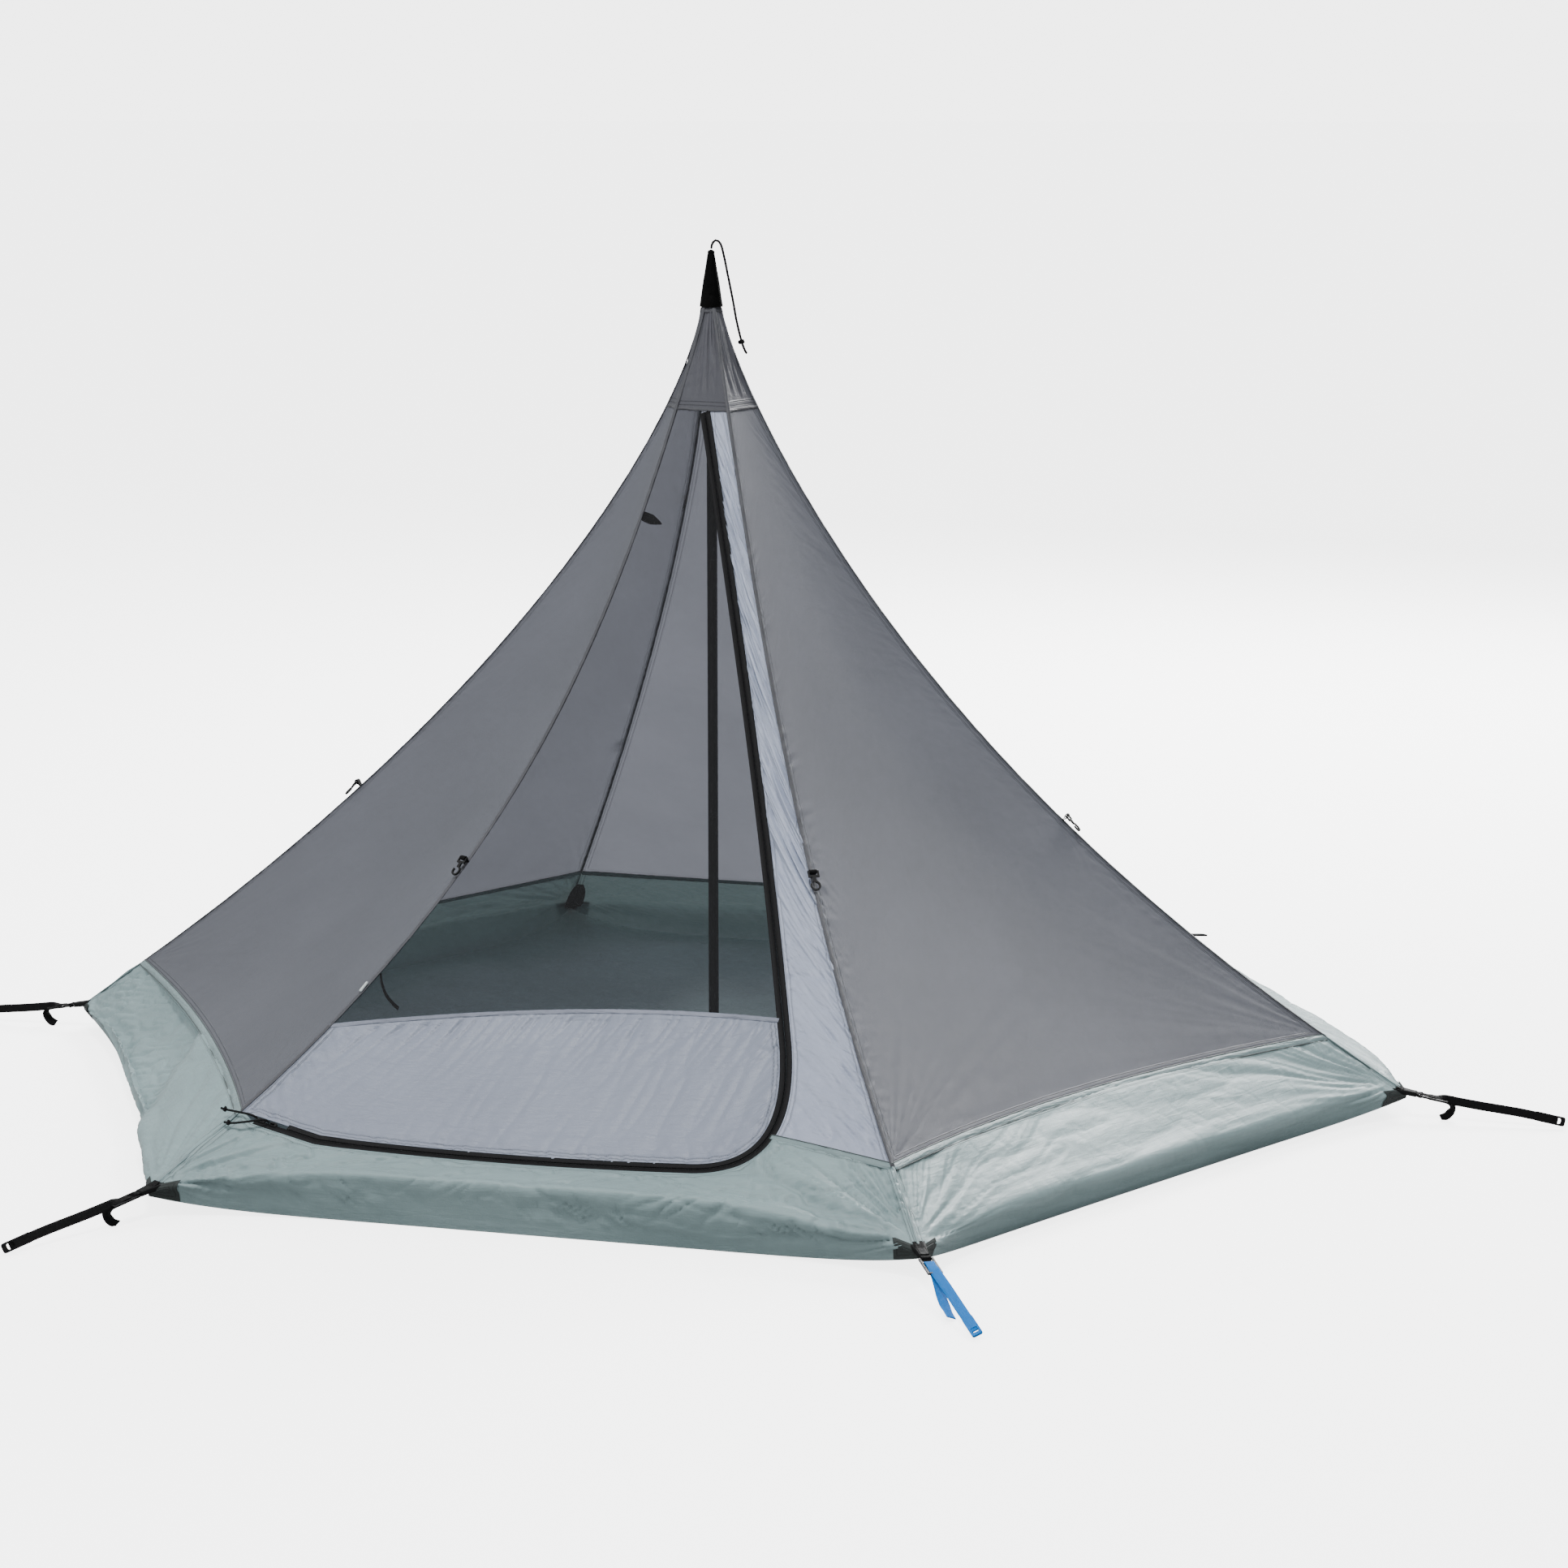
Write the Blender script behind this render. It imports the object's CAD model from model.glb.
"""Looks of the six-sided teepee inner tent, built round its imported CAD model. Metres, +Z up."""

import math

import bmesh
import bpy
import numpy as np
from mathutils import Matrix, Vector


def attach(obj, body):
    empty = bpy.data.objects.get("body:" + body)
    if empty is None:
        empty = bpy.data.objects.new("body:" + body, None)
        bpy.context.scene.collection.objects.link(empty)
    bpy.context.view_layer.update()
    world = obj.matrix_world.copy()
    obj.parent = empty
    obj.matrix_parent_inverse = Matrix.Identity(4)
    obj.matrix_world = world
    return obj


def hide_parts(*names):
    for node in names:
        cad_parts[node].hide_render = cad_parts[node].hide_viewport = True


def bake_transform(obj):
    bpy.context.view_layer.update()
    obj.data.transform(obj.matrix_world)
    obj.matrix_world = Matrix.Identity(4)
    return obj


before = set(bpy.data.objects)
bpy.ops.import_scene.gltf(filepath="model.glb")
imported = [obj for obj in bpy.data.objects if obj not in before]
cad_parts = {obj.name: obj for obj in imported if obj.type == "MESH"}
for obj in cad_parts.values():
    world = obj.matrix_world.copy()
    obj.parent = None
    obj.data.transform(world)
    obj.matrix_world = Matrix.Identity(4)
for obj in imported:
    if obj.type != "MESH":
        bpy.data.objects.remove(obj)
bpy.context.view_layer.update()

# ---------------------------------------------------------------- sizes shared with the CAD model

CORNER_RADIUS = 1.600
CORNER_HEIGHT = 0.058
TOP_RADIUS = 0.0225
TOP_HEIGHT = 1.770
CROWN_HEIGHT = 1.545
WALL_HEIGHT = 0.175
# Angle of each corner in degrees, the power of its ridge's curve at the top, and how much that power
# grows on the way down.
CORNERS = {
    "left": (180, 1.44, 0.15),
    "front_left": (240, 1.27, 1.13),
    "front_right": (300, 1.15, 0.73),
    "right": (0, 1.38, 0.45),
    "back_right": (60, 1.38, 0.36),
    "back_left": (120, 1.54, -0.15),
}
DOOR_SIDE = ("front_left", "front_right")
PANEL_SIDES = {
    "left_front": ("left", "front_left"),
    "right_front": ("front_right", "right"),
    "right_back": ("right", "back_right"),
    "back": ("back_right", "back_left"),
    "left_back": ("back_left", "left"),
}
PANEL_SAG = 0.055
CORNER_CUT = 0.006
# For the side that starts at each corner: sag of the panel where it meets the wall, inset of the wall's
# crease, inset of its ground line, and rise of the crease in the middle.
SIDE_SHAPES = {
    "left": (0.026, 0.012, 0.060, 0.010),
    "front_left": (0.055, 0.062, 0.078, 0.044),
    "front_right": (0.055, 0.055, 0.080, 0.012),
    "right": (0.055, -0.045, 0.030, 0.020),
    "back_right": (0.004, 0.020, 0.070, 0.016),
    "back_left": (0.004, 0.020, 0.070, 0.016),
}
ZIP_HALF_WIDTH = 0.0110
STRIP_TOP_WIDTH = 0.064
STRIP_FLARE = 0.148
ZIP_TOP_HEIGHT = 1.539
ZIP_BEND_START = 0.330
ZIP_BEND_END = 0.680
ZIP_LOW_HEIGHT = 0.124
ZIP_END_HEIGHT = 0.163
ZIP_STRAIGHT_START = 0.150
ZIP_STRAIGHT_END = 0.035
HEM_LEFT_HEIGHT = 0.312
HEM_MIDDLE_HEIGHT = 0.355
HEM_RIGHT_HEIGHT = 0.375
DOOR_TAPE_END_GAP = 0.075
SLIDER_FIRST = 0.014
SLIDER_PITCH = 0.028
WEBBING_HALF_WIDTH = 0.0100
WEBBING = 0.0018
STRAP_SLOPE = math.radians(9.4)
STRAP_LENGTH = 0.340
BACK_STRAP_LENGTH = 0.245
BAR_POSITION = 0.027
STRAP_BAR_POSITION = 0.046
TIEOUT_HEIGHT = 0.634
DOOR_TIEOUT_HEIGHT = 0.606
INNER_TAB_HEIGHT = 1.315
TIEOUT_BAR = 0.0140
CAP_TIP = 1.893
TOUCH_GAP = 0.0004


# ---------------------------------------------------------------- surface of the pitched tent

def unit(vector):
    return vector / np.linalg.norm(vector, axis=-1, keepdims=True)


def tent_sides():
    """The two corners of each side, in order round the tent."""
    names = list(CORNERS)
    return list(zip(names, names[1:] + names[:1]))


def corner_angle(corner):
    return math.radians(CORNERS[corner][0])


def ridge_radius(corner, height):
    _, upper, droop = CORNERS[corner]
    below_top = np.clip((TOP_HEIGHT - height) / (TOP_HEIGHT - CORNER_HEIGHT), 0.0, 1.0)
    return TOP_RADIUS + (CORNER_RADIUS - TOP_RADIUS) * below_top ** (upper + droop * below_top)


def ridge_point(corner, height):
    height = np.asarray(height, float)
    angle = corner_angle(corner)
    radius = ridge_radius(corner, height)
    return np.stack([radius * math.cos(angle), radius * math.sin(angle), height], -1)


def bowed(start, end, across, inset):
    chord = (end - start) * np.array([1, 1, 0])
    inward = unit(np.stack([-chord[..., 1], chord[..., 0], chord[..., 0] * 0], -1))
    return start + (end - start) * across[..., None] + inward * inset[..., None]


def panel_point(side, across, height):
    across, height = np.broadcast_arrays(np.asarray(across, float), np.asarray(height, float))
    start, end = ridge_point(side[0], height), ridge_point(side[1], height)
    below_crown = np.clip((CROWN_HEIGHT - height) / (CROWN_HEIGHT - WALL_HEIGHT), 0, 1)
    share = PANEL_SAG + (SIDE_SHAPES[side[0]][0] - PANEL_SAG) * below_crown ** 2
    return bowed(start, end, across, share * np.linalg.norm(end - start, axis=-1) * 4 * across * (1 - across))


def panel_frame(side, across, height):
    step = 0.002
    sideways = panel_point(side, across + step, height) - panel_point(side, across - step, height)
    upward = panel_point(side, across, height + step) - panel_point(side, across, height - step)
    return panel_point(side, across, height), unit(np.cross(sideways, upward))


def chord_length(side, height):
    return np.linalg.norm(ridge_point(side[1], height) - ridge_point(side[0], height), axis=-1)


def wall_line(side, across, inset, height):
    """A line of the tub wall below the seam, with its own height at each point."""
    reach = CORNER_RADIUS - CORNER_CUT
    ends = []
    for corner in side:
        angle = corner_angle(corner)
        flat = np.stack([np.full_like(height, reach * math.cos(angle)),
                         np.full_like(height, reach * math.sin(angle)), height], -1)
        ends.append(flat)
    return bowed(ends[0], ends[1], across, inset)


def wall_rows(side, across, seam_height):
    """Ground, crease and seam lines of a tub wall."""
    end_pull = np.abs(2 * across - 1)
    _, crease_inset, ground_inset, crease_rise = SIDE_SHAPES[side[0]]
    end_rise = (CORNER_HEIGHT - 0.014) * end_pull ** 6
    ground = wall_line(side, across, ground_inset * (1 - end_pull ** 5), end_rise)
    crease = wall_line(side, across, crease_inset * (1 - end_pull ** 4),
                       CORNER_HEIGHT + crease_rise * (1 - end_pull ** 4))
    return ground, crease, panel_point(side, across, seam_height)


def wall_surface(side, across, rise, seam_height):
    """Points of a tub wall: rise runs from 0 on the ground through a rounded crease to 1 at the seam."""
    ground, crease, top = wall_rows(side, across, seam_height)
    low_part = 0.30
    low = ground + (crease - ground) * (rise / low_part)[..., None]
    high = crease + (top - crease) * ((rise - low_part) / (1 - low_part))[..., None]
    turn = np.clip((rise - low_part + 0.16) / 0.32, 0, 1)
    turn = (turn * turn * (3 - 2 * turn))[..., None]
    return low * (1 - turn) + high * turn


# ---------------------------------------------------------------- zip path on the door side

def strip_width(height):
    above = (height - WALL_HEIGHT) / (CROWN_HEIGHT - WALL_HEIGHT)
    return STRIP_TOP_WIDTH + STRIP_FLARE * (1 - above) ** 3


def zip_across(height):
    return 1 - strip_width(height) / chord_length(DOOR_SIDE, height)


def zip_frames():
    """Points down the zip from the crown to its low left end, each with across and outward axes."""
    fine = 4
    heights = np.linspace(ZIP_TOP_HEIGHT, ZIP_BEND_START, 22 * fine + 1)
    upright = np.stack([zip_across(heights), heights], -1)
    knee = np.array([zip_across(0.20) - 0.012, ZIP_LOW_HEIGHT + 0.012])
    bend_end = np.array([ZIP_BEND_END, ZIP_LOW_HEIGHT + 0.006])
    t = np.linspace(0, 1, 10 * fine + 1)[1:, None]
    bend = upright[-1] * (1 - t) ** 2 + knee * 2 * t * (1 - t) + bend_end * t ** 2
    t = np.linspace(0, 1, 10 * fine + 1)[1:]
    low = np.stack([ZIP_BEND_END + (ZIP_STRAIGHT_START + 0.05 - ZIP_BEND_END) * t,
                    ZIP_LOW_HEIGHT - 0.003 + 0.009 * (2 * t - 1) ** 2], -1)
    last = np.array([ZIP_STRAIGHT_START, ZIP_LOW_HEIGHT + 0.011])
    t = np.linspace(0, 1, fine + 1)[1:, None]
    places = np.vstack([upright, bend, low, low[-1] * (1 - t) + last * t])
    points, normals = panel_frame(DOOR_SIDE, places[:, 0], places[:, 1])

    start = points[-1]
    end, end_normal = panel_frame(DOOR_SIDE, np.float64(ZIP_STRAIGHT_END), np.float64(ZIP_END_HEIGHT))
    straight = unit(end - start)
    normal = unit(normals[-1] + end_normal)
    normal = unit(normal - straight * normal.dot(straight))
    normals[-1] = normal
    length = np.linalg.norm(end - start)
    steps = np.linspace(0, length, 6 * fine + 1)[1:]
    points = np.vstack([points, start + straight * steps[:, None]])
    normals = np.vstack([normals, np.repeat(normal[None], len(steps), 0)])
    along = unit(np.gradient(points, axis=0))
    along[-len(steps) - 1:] = straight
    across = unit(np.cross(along, normals))
    return points, across, np.cross(across, along), along


def across_of(points):
    start, end = ridge_point(DOOR_SIDE[0], points[..., 2]), ridge_point(DOOR_SIDE[1], points[..., 2])
    chord = end - start
    return ((points - start) * chord).sum(-1) / (chord * chord).sum(-1)


def zip_side(distance):
    """The zip path moved across the fabric, as (across, height) places. Positive is the door side."""
    moved = ZIP_POINTS + ZIP_ACROSS * distance
    return np.stack([across_of(moved), moved[:, 2]], -1)


ZIP_POINTS, ZIP_ACROSS, ZIP_OUT, ZIP_ALONG = zip_frames()


# ---------------------------------------------------------------- noise and grids

def noise(x, y, seed):
    """Smooth value noise from -1 to 1."""
    table = np.random.RandomState(seed).rand(256, 256) * 2 - 1
    x, y = np.broadcast_arrays(np.asarray(x, float), np.asarray(y, float))
    column, row = np.floor(x).astype(int), np.floor(y).astype(int)
    fx, fy = x - column, y - row
    fx, fy = fx * fx * (3 - 2 * fx), fy * fy * (3 - 2 * fy)
    near = table[column % 256, row % 256] * (1 - fx) + table[(column + 1) % 256, row % 256] * fx
    far = table[column % 256, (row + 1) % 256] * (1 - fx) + table[(column + 1) % 256, (row + 1) % 256] * fx
    return near * (1 - fy) + far * fy


def folds(x, y, seed):
    """Rounded folds with sharp valleys, from about -0.5 to 1."""
    return np.abs(noise(x, y, seed)) ** 0.8 * 1.7 - 0.5


def creases(x, y, seed, sharp=3.0):
    """Narrow valleys with flat cloth between them, from -1 to 0."""
    return -np.clip(1 - np.abs(noise(x, y, seed)) * sharp, 0, 1) ** 1.5


def ramp(value, low, high):
    part = np.clip((value - low) / (high - low), 0, 1)
    return part * part * (3 - 2 * part)


def grid_normals(points):
    upward, sideways = np.gradient(points, axis=(0, 1))
    return unit(np.cross(sideways, upward))


def wrinkled(smooth, height):
    """A grid of points raised off its own surface."""
    return smooth + grid_normals(smooth) * height[..., None]


def travelled(points):
    """Distance along a line of points, at each of them."""
    return np.concatenate([[0], np.cumsum(np.linalg.norm(np.diff(points, axis=0), axis=1))])


def resample(places, count):
    """Places spread evenly along a line of (across, height) places."""
    scaled = np.asarray(places) * np.array([CORNER_RADIUS, 1])
    lengths = travelled(scaled)
    wanted = np.linspace(0, lengths[-1], count + 1)
    return np.stack([np.interp(wanted, lengths, np.asarray(places)[:, axis]) for axis in (0, 1)], -1)


def coons(bottom, top, left, right):
    """(across, height) places filled in between four border lines."""
    s = np.linspace(0, 1, len(bottom))[None, :, None]
    t = np.linspace(0, 1, len(left))[:, None, None]
    place = bottom[None] * (1 - t) + top[None] * t + left[:, None] * (1 - s) + right[:, None] * s
    place = place - (bottom[0] * (1 - s) + bottom[-1] * s) * (1 - t)
    return place - (top[0] * (1 - s) + top[-1] * s) * t


def lengths_along(points):
    """Distance travelled along each row and up each column of a grid of points."""
    across = np.linalg.norm(np.diff(points, axis=1), axis=-1)
    along = np.linalg.norm(np.diff(points, axis=0), axis=-1)
    x = np.concatenate([np.zeros((points.shape[0], 1)), np.cumsum(across, 1)], 1)
    y = np.concatenate([np.zeros((1, points.shape[1])), np.cumsum(along, 0)], 0)
    return x, y


def grid_object(name, points, finish, cloth, edge=None, wrap=False):
    """A smooth surface over a grid of points. cloth gives metres over the fabric and edge the
    distance from its sewn edges, which the materials read."""
    rows, columns = points.shape[:2]
    index = np.arange(rows * columns).reshape(rows, columns)
    if wrap:
        index = np.concatenate([index, index[:, :1]], 1)
    faces = np.stack([index[:-1, :-1], index[:-1, 1:], index[1:, 1:], index[1:, :-1]], -1).reshape(-1, 4)
    return mesh_object(name, points.reshape(-1, 3), faces, finish, cloth, edge)


def mesh_object(name, vertices, faces, finish, cloth, edge=None, smooth=True):
    mesh = bpy.data.meshes.new(name)
    mesh.from_pydata([tuple(v) for v in vertices], [], [tuple(int(i) for i in f) for f in faces])
    mesh.update()
    mesh.polygons.foreach_set("use_smooth", [smooth] * len(mesh.polygons))
    made = bpy.data.objects.new(name, mesh)
    bpy.context.scene.collection.objects.link(made)
    mesh.materials.append(MATERIALS[finish])
    flat = np.zeros((len(vertices), 3))
    flat[:, :2] = np.asarray(cloth).reshape(-1, 2)
    layer = mesh.attributes.new("cloth", "FLOAT_VECTOR", "POINT")
    layer.data.foreach_set("vector", flat.ravel())
    value = np.ones(len(vertices)) if edge is None else np.asarray(edge, float).ravel()
    mesh.attributes.new("edge", "FLOAT", "POINT").data.foreach_set("value", value)
    return made


def sweep(name, points, across, up, profile, finish, closed_path=False):
    """A bar of the profile, as (across, up) pairs, along a path. Its fabric runs along the path."""
    profile = np.asarray(profile, float)
    if profile.ndim == 2:
        profile = np.repeat(profile[None], len(points), 0)
    body = points[:, None] + across[:, None] * profile[..., :1] + up[:, None] * profile[..., 1:]
    sides = body.shape[1]
    count = len(points)
    index = np.arange(count * sides).reshape(count, sides)
    ring = np.concatenate([index, index[:, :1]], 1)
    if closed_path:
        ring = np.concatenate([ring, ring[:1]], 0)
    faces = np.stack([ring[:-1, :-1], ring[:-1, 1:], ring[1:, 1:], ring[1:, :-1]], -1).reshape(-1, 4).tolist()
    if not closed_path:
        faces += [index[0][::-1].tolist(), index[-1].tolist()]
    run = travelled(points)
    cloth = np.stack([np.repeat(run[:, None], sides, 1), profile[..., 0]], -1)
    edge = np.abs(profile[..., 0])
    return mesh_object(name, body.reshape(-1, 3), faces, finish, cloth, edge)


def band_profile(half_width, height, bulge):
    """A soft flat band's cross-section."""
    edge = half_width * 0.82
    return [(-half_width, 0), (-edge, -height * 0.7), (0, -height * 0.7 - bulge), (edge, -height * 0.7),
            (half_width, 0), (edge, height), (0, height + bulge), (-edge, height)]


def band_profiles(count, half_width, height, bulge):
    """The same cross-section once for every point of a band."""
    return np.repeat(np.array(band_profile(half_width, height, bulge))[None], count, 0)


def smooth_route(stops, spacing):
    """Points every spacing metres along a smooth curve through the stops."""
    stops = np.asarray(stops, float)
    padded = np.vstack([stops[0] * 2 - stops[1], stops, stops[-1] * 2 - stops[-2]])
    fine = []
    for before, start, end, after in zip(padded, padded[1:], padded[2:], padded[3:]):
        t = (np.arange(40) / 40)[:, None]
        square = (2 * before - 5 * start + 4 * end - after) * t ** 2
        cube = (3 * start - before - 3 * end + after) * t ** 3
        fine.append(0.5 * (2 * start + (end - before) * t + square + cube))
    fine = np.vstack(fine + [stops[-1:]])
    lengths = travelled(fine)
    wanted = np.linspace(0, lengths[-1], max(2, round(lengths[-1] / spacing)) + 1)
    return np.stack([np.interp(wanted, lengths, fine[:, axis]) for axis in range(3)], -1)


# ---------------------------------------------------------------- materials

class Graph:
    """Short ways to put a material's nodes together."""

    def __init__(self, name):
        self.material = bpy.data.materials.new(name)
        self.material.use_nodes = True
        self.tree = self.material.node_tree
        self.tree.nodes.clear()
        self.output = self.tree.nodes.new("ShaderNodeOutputMaterial")

    def node(self, kind, inputs=None, **settings):
        made = self.tree.nodes.new("ShaderNode" + kind)
        for key, value in settings.items():
            setattr(made, key, value)
        for key, value in (inputs or {}).items():
            if isinstance(value, bpy.types.NodeSocket):
                self.tree.links.new(value, made.inputs[key])
            else:
                made.inputs[key].default_value = value
        return made

    def maths(self, operation, first, second=0.0, third=None):
        inputs = {0: first, 1: second}
        if third is not None:
            inputs[2] = third
        return self.node("Math", inputs, operation=operation).outputs[0]

    def attribute(self, name):
        return self.node("Attribute", attribute_name=name, attribute_type="GEOMETRY")

    def noise(self, vector, scale, detail=2.0, distortion=0.0):
        return self.node("TexNoise", {"Vector": vector, "Scale": scale, "Detail": detail,
                                      "Distortion": distortion}).outputs["Fac"]

    def stretched(self, vector, scale):
        return self.node("VectorMath", {0: vector, 1: scale}, operation="MULTIPLY").outputs[0]

    def mix(self, factor, first, second):
        made = self.node("Mix", {0: factor}, data_type="RGBA")
        for slot, value in ((6, first), (7, second)):
            if isinstance(value, bpy.types.NodeSocket):
                self.tree.links.new(value, made.inputs[slot])
            else:
                made.inputs[slot].default_value = value
        return made.outputs[2]

    def remap(self, value, *limits):
        """value taken from the first two limits to the last two, or to 0 and 1."""
        return self.node("MapRange", {0: value, **dict(enumerate(limits, 1))}).outputs[0]

    def fabric_places(self):
        """Metres over the fabric, and the distance from its sewn edges."""
        return self.attribute("cloth").outputs["Vector"], self.attribute("edge").outputs["Fac"]

    def band(self, value, centre, half_width):
        """1 where value is within half_width of centre, with soft sides."""
        away = self.maths("ABSOLUTE", self.maths("SUBTRACT", value, centre))
        return self.remap(away, half_width, half_width * 0.4, 0.0, 1.0)

    def bump(self, height, strength, distance, under=None):
        inputs = {"Height": height, "Strength": strength, "Distance": distance}
        if under is not None:
            inputs["Normal"] = under
        return self.node("Bump", inputs).outputs[0]

    def finish(self, shader):
        self.tree.links.new(shader, self.output.inputs["Surface"])
        return self.material


def linear(red, green, blue):
    """An sRGB colour out of 255 as linear RGBA."""
    values = []
    for part in (red, green, blue):
        part = part / 255
        values.append(part / 12.92 if part <= 0.04045 else ((part + 0.055) / 1.055) ** 2.4)
    return (*values, 1)


def tinted(colour, gain, lift=0):
    """A brighter or darker version of an sRGB colour, as linear RGBA."""
    return linear(*(min(255, part * gain + lift) for part in colour))


def weave(graph, cloth, pitch, strength, under):
    """Over-and-under threads as bump, and the thread pattern itself."""
    threads = graph.stretched(cloth, (math.tau / pitch,) * 3)
    parts = graph.node("SeparateXYZ", {0: threads})
    warp, weft = (graph.maths("SINE", part) for part in (parts.outputs[0], parts.outputs[1]))
    crossing = graph.maths("MULTIPLY", warp, weft)
    return graph.bump(crossing, strength, pitch * 0.2, under), crossing


def fabric_material(name, colour, shade, roughness, crumple, light_through, sheen=0.1, sewn=True,
                    coat=0.0, streak=0.0, gleam=0.5):
    """Thin woven fabric: colour drifts, micro creases, a fine weave, and stitch rows near sewn edges."""
    graph = Graph(name)
    cloth, edge = graph.fabric_places()
    drift = graph.noise(cloth, 2.2, 3.0)
    mottle = graph.noise(cloth, 38.0, 4.0)
    tone = graph.maths("MULTIPLY_ADD", mottle, 0.25, graph.maths("MULTIPLY", drift, 0.75))
    tone = graph.remap(tone, 0.35, 0.65)
    colour_now = graph.mix(tone, linear(*shade), linear(*colour))
    creases = graph.noise(cloth, 26.0, 5.0, 0.6)
    long_creases = graph.noise(graph.stretched(cloth, (14.0, 95.0, 1.0)), 1.0, 3.0, 0.8)
    height = graph.maths("MULTIPLY_ADD", long_creases, streak, graph.maths("MULTIPLY", creases, crumple))
    normal = graph.bump(height, 0.7, 0.012)
    if sewn:
        run = graph.node("SeparateXYZ", {0: cloth})
        dash = graph.maths("SINE", graph.maths("MULTIPLY", graph.maths("ADD", run.outputs[0], run.outputs[1]),
                                               math.tau / 0.0042))
        dash = graph.remap(dash, -0.4, 0.2)
        rows = graph.maths("MAXIMUM", graph.band(edge, 0.0080, 0.0014), graph.band(edge, 0.0160, 0.0014))
        stitch = graph.maths("MULTIPLY", rows, graph.maths("MULTIPLY_ADD", dash, 0.5, 0.5))
        colour_now = graph.mix(graph.maths("MULTIPLY", stitch, 0.60), colour_now,
                               tinted(colour, 0.45))
        hem = graph.remap(edge, 0.0195, 0.0180, 0.0, 1.0)
        raised = graph.maths("SUBTRACT", hem, graph.maths("MULTIPLY", rows, 0.8))
        normal = graph.bump(raised, 0.8, 0.0012, normal)
    normal, threads = weave(graph, cloth, 0.0007, 0.25, normal)
    colour_now = graph.mix(graph.maths("MULTIPLY_ADD", threads, 0.04, 0.04), colour_now,
                           tinted(colour, 0.8))
    shine = graph.remap(mottle, 0.3, 0.7, roughness - 0.06, roughness + 0.06)
    cloth_shader = graph.node("BsdfPrincipled", {
        "Base Color": colour_now, "Roughness": shine, "Normal": normal, "Sheen Weight": sheen,
        "Sheen Roughness": 0.4, "Specular IOR Level": gleam, "Coat Weight": coat, "Coat Roughness": 0.35})
    glow = graph.node("BsdfTranslucent", {"Color": colour_now, "Normal": normal})
    both = graph.node("MixShader", {0: light_through, 1: cloth_shader.outputs[0], 2: glow.outputs[0]})
    return graph.finish(both.outputs[0])


def netting_material(name, colour, cover):
    """Insect netting: hexagon-like holes between fine threads, seen through."""
    graph = Graph(name)
    cloth, edge = graph.fabric_places()
    holes = graph.node("TexVoronoi", {"Vector": cloth, "Scale": 900.0, "Randomness": 0.25},
                       feature="DISTANCE_TO_EDGE").outputs["Distance"]
    thread = graph.remap(holes, 0.10, 0.30, 1.0, 0.0)
    drift = graph.noise(cloth, 3.0, 3.0)
    colour_now = graph.mix(drift, tinted(colour, 0.9), linear(*colour))
    cloth_shader = graph.node("BsdfPrincipled", {"Base Color": colour_now, "Roughness": 0.8,
                                                 "Normal": graph.bump(thread, 0.5, 0.0002)})
    clear = graph.node("BsdfTransparent", {"Color": (1, 1, 1, 1)})
    hem = graph.remap(edge, 0.0055, 0.0045, 0.0, 1.0)
    solid = graph.maths("MAXIMUM", graph.maths("MULTIPLY_ADD", thread, 0.18, cover - 0.09), hem)
    both = graph.node("MixShader", {0: solid, 1: clear.outputs[0], 2: cloth_shader.outputs[0]})
    return graph.finish(both.outputs[0])


def webbing_material(name, colour):
    """Woven tape: ribs across it, a chevron along it and slightly worn edges."""
    roughness, pitch = 0.72, 0.0022
    graph = Graph(name)
    cloth, edge = graph.fabric_places()
    parts = graph.node("SeparateXYZ", {0: cloth})
    chevron = graph.maths("PINGPONG", parts.outputs[1], pitch)
    slant = graph.maths("MULTIPLY_ADD", chevron, 1.0, parts.outputs[0])
    ribs = graph.maths("SINE", graph.maths("MULTIPLY", slant, math.tau / pitch))
    lanes = graph.maths("SINE", graph.maths("MULTIPLY", parts.outputs[1], math.tau / pitch))
    height = graph.maths("MULTIPLY_ADD", lanes, 0.5, ribs)
    normal = graph.bump(height, 0.7, pitch * 0.18)
    mottle = graph.noise(cloth, 220.0, 4.0)
    normal = graph.bump(mottle, 0.3, 0.0004, normal)
    light = graph.mix(graph.maths("MULTIPLY_ADD", height, 0.12, 0.25), linear(*colour),
                      tinted(colour, 1.35, 4))
    worn = graph.remap(edge, WEBBING_HALF_WIDTH * 0.8, WEBBING_HALF_WIDTH, 0.0, 0.15)
    light = graph.mix(graph.maths("MULTIPLY", worn, mottle), light,
                      tinted(colour, 1.3, 25))
    shine = graph.remap(mottle, 0.3, 0.7, roughness - 0.1, roughness + 0.1)
    shader = graph.node("BsdfPrincipled", {"Base Color": light, "Roughness": shine, "Normal": normal,
                                           "Specular IOR Level": 0.15})
    return graph.finish(shader.outputs[0])


def moulded_material(name, colour, roughness, grain=900.0, metallic=0.0, streaks=0.0):
    """Moulded plastic, rubber or coated metal, with a fine grain, faint scuffs and drift in its gloss."""
    graph = Graph(name)
    place = graph.node("TexCoord").outputs["Object"]
    fine = graph.noise(place, grain, 3.0)
    scuffs = graph.noise(graph.stretched(place, (60.0, 60.0, 60.0 - 57.0 * streaks)), 1.0, 5.0, 1.0)
    tone = graph.remap(scuffs, 0.4, 0.75, 0.0, 0.5)
    light = graph.mix(tone, linear(*colour), tinted(colour, 1.2, 6))
    shine = graph.remap(scuffs, 0.3, 0.7, roughness - 0.08, roughness + 0.12)
    normal = graph.bump(fine, 0.35, 0.0002)
    shader = graph.node("BsdfPrincipled", {"Base Color": light, "Roughness": shine, "Normal": normal,
                                           "Metallic": metallic, "Specular IOR Level": 0.3})
    return graph.finish(shader.outputs[0])


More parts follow.
